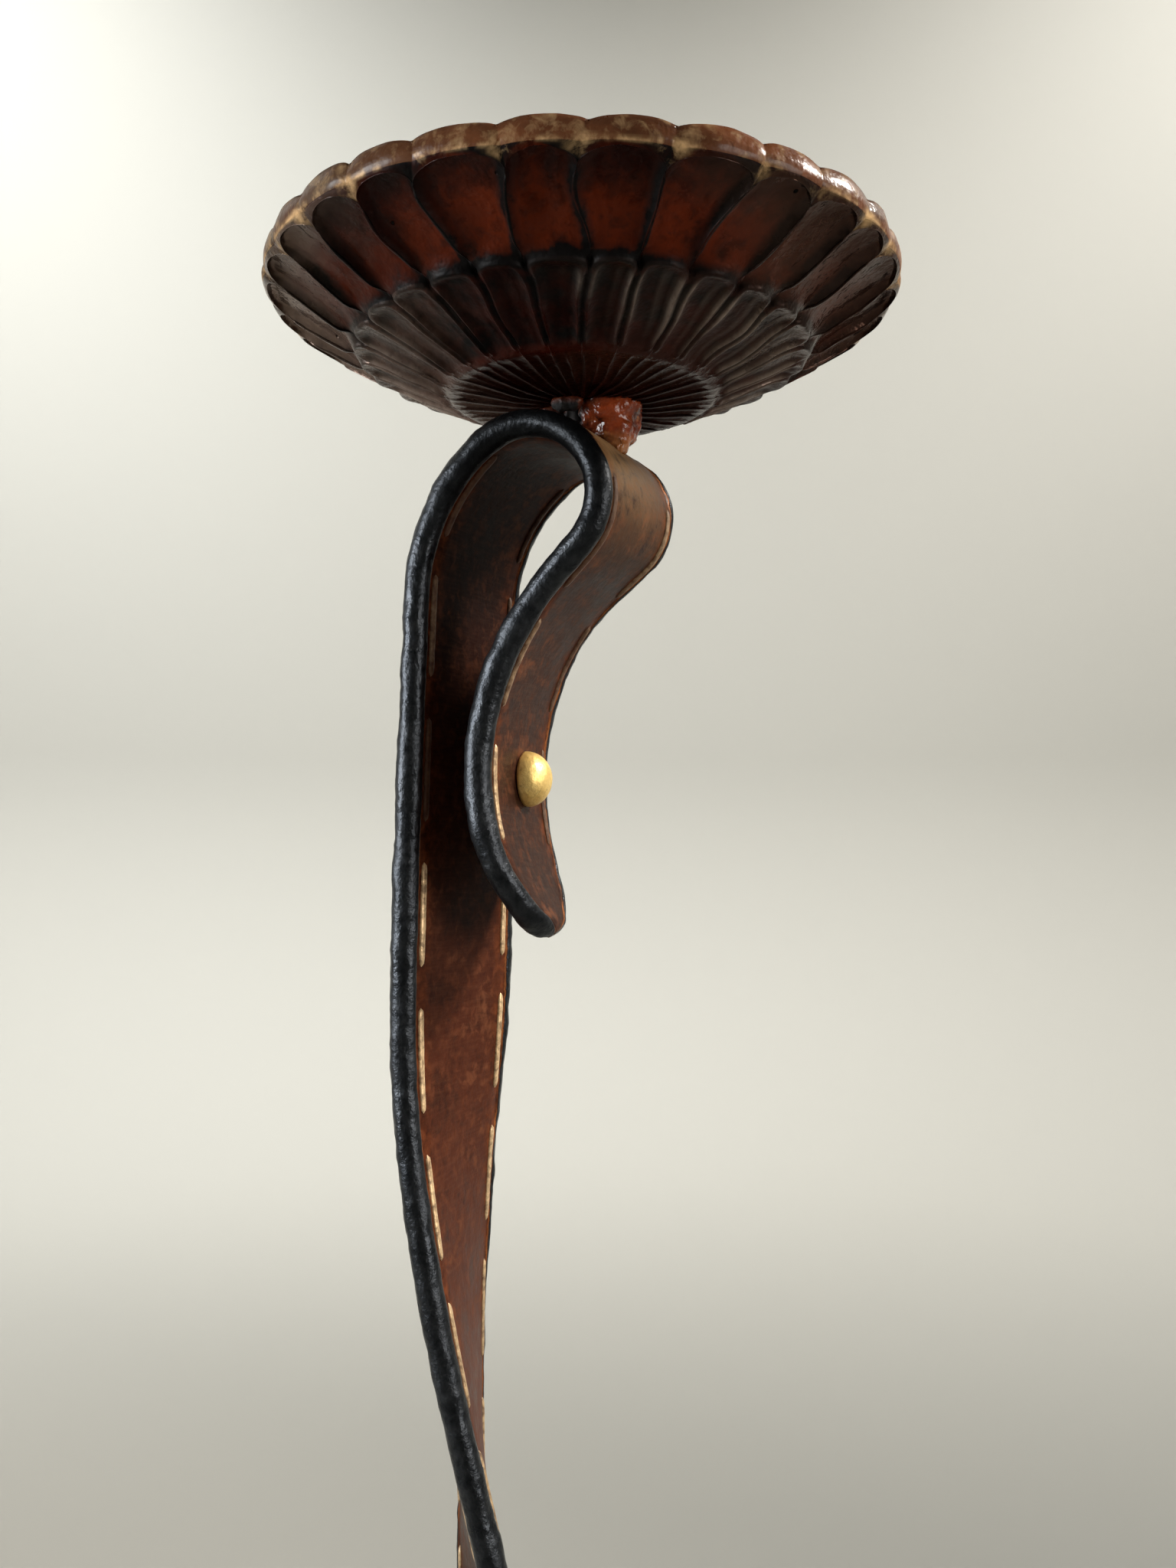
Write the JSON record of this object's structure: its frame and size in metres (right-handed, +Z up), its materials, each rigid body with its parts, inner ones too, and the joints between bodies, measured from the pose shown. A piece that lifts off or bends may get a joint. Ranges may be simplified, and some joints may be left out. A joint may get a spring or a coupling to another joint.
{
  "type": "candle holder",
  "caption": "Pricket candle holder: fluted drip dish on a flat iron strap shaped like a stitched leather belt, looped over at the top and standing on a fluted round foot.",
  "frame": {"origin": "centre of the foot's underside, on the surface it stands on", "axes": "+Z up along the drip dish's axis, -Y towards the front with the strap's heel, +X towards the side the loop's tail folds over from"},
  "size_m": [0.15, 0.15, 0.4333],
  "materials": {
    "dish_lacquer": "glossy translucent brown lacquer, blackened in the hollows, over cast metal",
    "foot_lacquer": "glossy translucent brown lacquer over cast metal",
    "strap_paint": "satin reddish brown like leather, with black rolled edges",
    "gilt_outer": "dull gilt paint",
    "gilt_inner": "dull gilt paint",
    "tail_brass": "worn brass, domed",
    "foot_brass": "worn brass, domed",
    "braze": "glossy lumps of filler under red-brown lacquer",
    "pricket_steel": "darkened steel",
    "washer_steel": "zinc",
    "nut_steel": "zinc",
    "felt": "dark green felt"
  },
  "bodies": {
    "root": {"drip_dish": "dish_lacquer", "pricket": "pricket_steel", "brazed_joint": "braze", "strap": "strap_paint", "outer_stitches": "gilt_outer", "inner_stitches": "gilt_inner", "tail_stud": "tail_brass", "foot_studs": "foot_brass", "foot": "foot_lacquer", "foot_washers": "washer_steel", "foot_nuts": "nut_steel", "felt_pad": "felt"}
  },
  "joints": []
}
